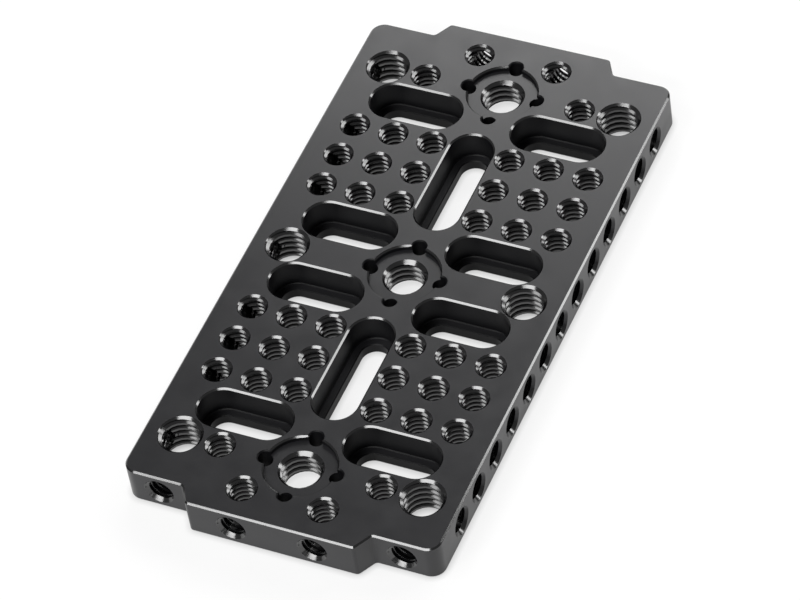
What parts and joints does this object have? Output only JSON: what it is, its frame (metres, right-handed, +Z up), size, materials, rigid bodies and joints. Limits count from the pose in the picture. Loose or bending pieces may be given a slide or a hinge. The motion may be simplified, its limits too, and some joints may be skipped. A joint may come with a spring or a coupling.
{
  "type": "cheese plate",
  "caption": "Flat slotted aluminium mounting plate with a square grid of tapped holes, located screw seats and tapped edges, for fastening camera accessories.",
  "frame": {"origin": "centre of the plate's underside", "axes": "+Z up, out of the top face; Y along the plate; X across it"},
  "size_m": [0.07, 0.14, 0.009],
  "materials": {
    "black_anodised_aluminium": "fine matt black anodising"
  },
  "bodies": {
    "root": {"plate": "black_anodised_aluminium"}
  },
  "joints": []
}
